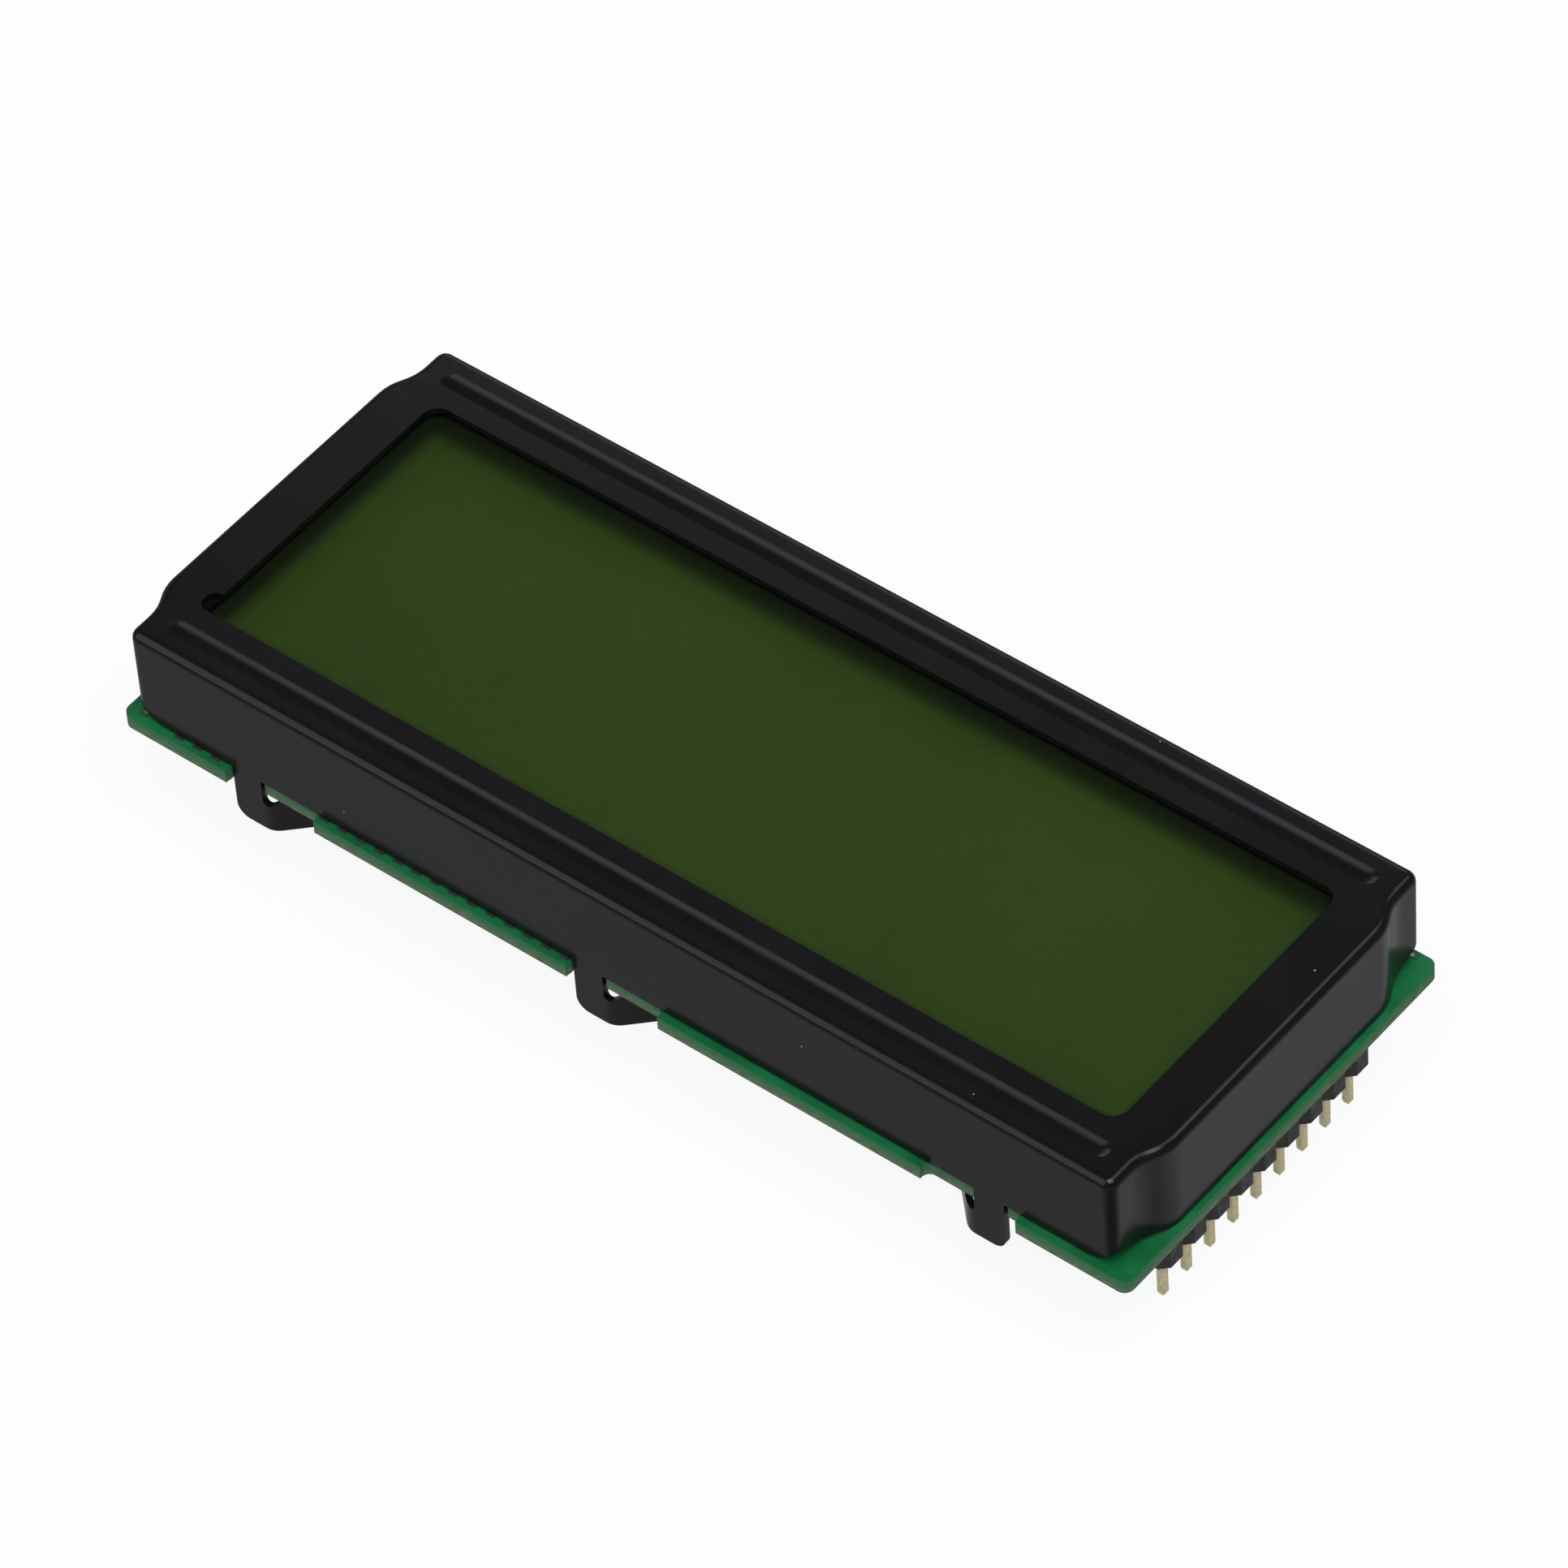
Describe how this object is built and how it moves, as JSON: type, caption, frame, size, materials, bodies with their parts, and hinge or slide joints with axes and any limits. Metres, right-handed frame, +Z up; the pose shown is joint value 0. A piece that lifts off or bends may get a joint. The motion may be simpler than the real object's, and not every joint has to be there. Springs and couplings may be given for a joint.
{
  "type": "character lcd module",
  "caption": "Blank character display module with a black steel bezel hooked to a green circuit board, and a square-pin header under each short end.",
  "frame": {"origin": "middle of the board, at the height of the pin tips", "axes": "+X along the module's length, +Y across it towards the back edge, +Z up out of the display"},
  "size_m": [0.0676, 0.0268, 0.0141],
  "materials": {
    "bezel_paint": "satin black paint on pressed steel",
    "board_laminate": "green solder mask on glass-epoxy laminate",
    "gasket_rubber": "soft black rubber",
    "display_film": "fine matt yellow-green polarising film",
    "display_glass": "polished soda-lime glass",
    "clear_resin": "cured clear resin drop",
    "white_moulding": "moulded white polycarbonate",
    "clear_acrylic": "clear moulded acrylic",
    "lamp_board": "white lamp board",
    "lamp_resin": "yellow-green lamp resin",
    "contact_rubber": "layered silicone and carbon rubber",
    "carbon_print": "printed carbon ink",
    "tin_plate": "tin plate, slightly yellowed",
    "header_plastic": "moulded black glass-filled nylon",
    "solder": "bright solder",
    "coat_resin": "black cured epoxy",
    "resistor_ceramic": "black-glazed ceramic chip",
    "capacitor_ceramic": "bare tan ceramic chip",
    "pin_plate": "thin pale gold plate on brass"
  },
  "bodies": {
    "root": {"bezel": "bezel_paint", "pcb": "board_laminate", "bezel_gasket": "gasket_rubber", "front_polariser": "display_film", "rear_polariser": "display_film", "front_glass": "display_glass", "rear_glass": "display_glass", "fill_port_seal": "clear_resin", "backlight_frame": "white_moulding", "diffuser_sheet": "white_moulding", "reflector_sheet": "white_moulding", "light_guide": "clear_acrylic", "led_carrier_left": "lamp_board", "led_carrier_right": "lamp_board", "leds_left": "lamp_resin", "leds_right": "lamp_resin", "zebra_strip_front": "contact_rubber", "zebra_strip_back": "contact_rubber", "contact_pads_front": "carbon_print", "contact_pads_back": "carbon_print", "corner_pads": "tin_plate", "chip_terminals": "tin_plate", "header_left": "header_plastic", "header_right": "header_plastic", "solder_left": "solder", "solder_right": "solder", "controller_coat_left": "coat_resin", "controller_coat_right": "coat_resin", "chip_resistors": "resistor_ceramic", "chip_capacitors": "capacitor_ceramic", "pin_01": "pin_plate", "pin_02": "pin_plate", "pin_03": "pin_plate", "pin_04": "pin_plate", "pin_05": "pin_plate", "pin_06": "pin_plate", "pin_07": "pin_plate", "pin_08": "pin_plate", "pin_09": "pin_plate", "pin_10": "pin_plate", "pin_11": "pin_plate", "pin_12": "pin_plate", "pin_13": "pin_plate", "pin_14": "pin_plate", "pin_15": "pin_plate", "pin_16": "pin_plate", "pin_17": "pin_plate", "pin_18": "pin_plate"}
  },
  "joints": []
}
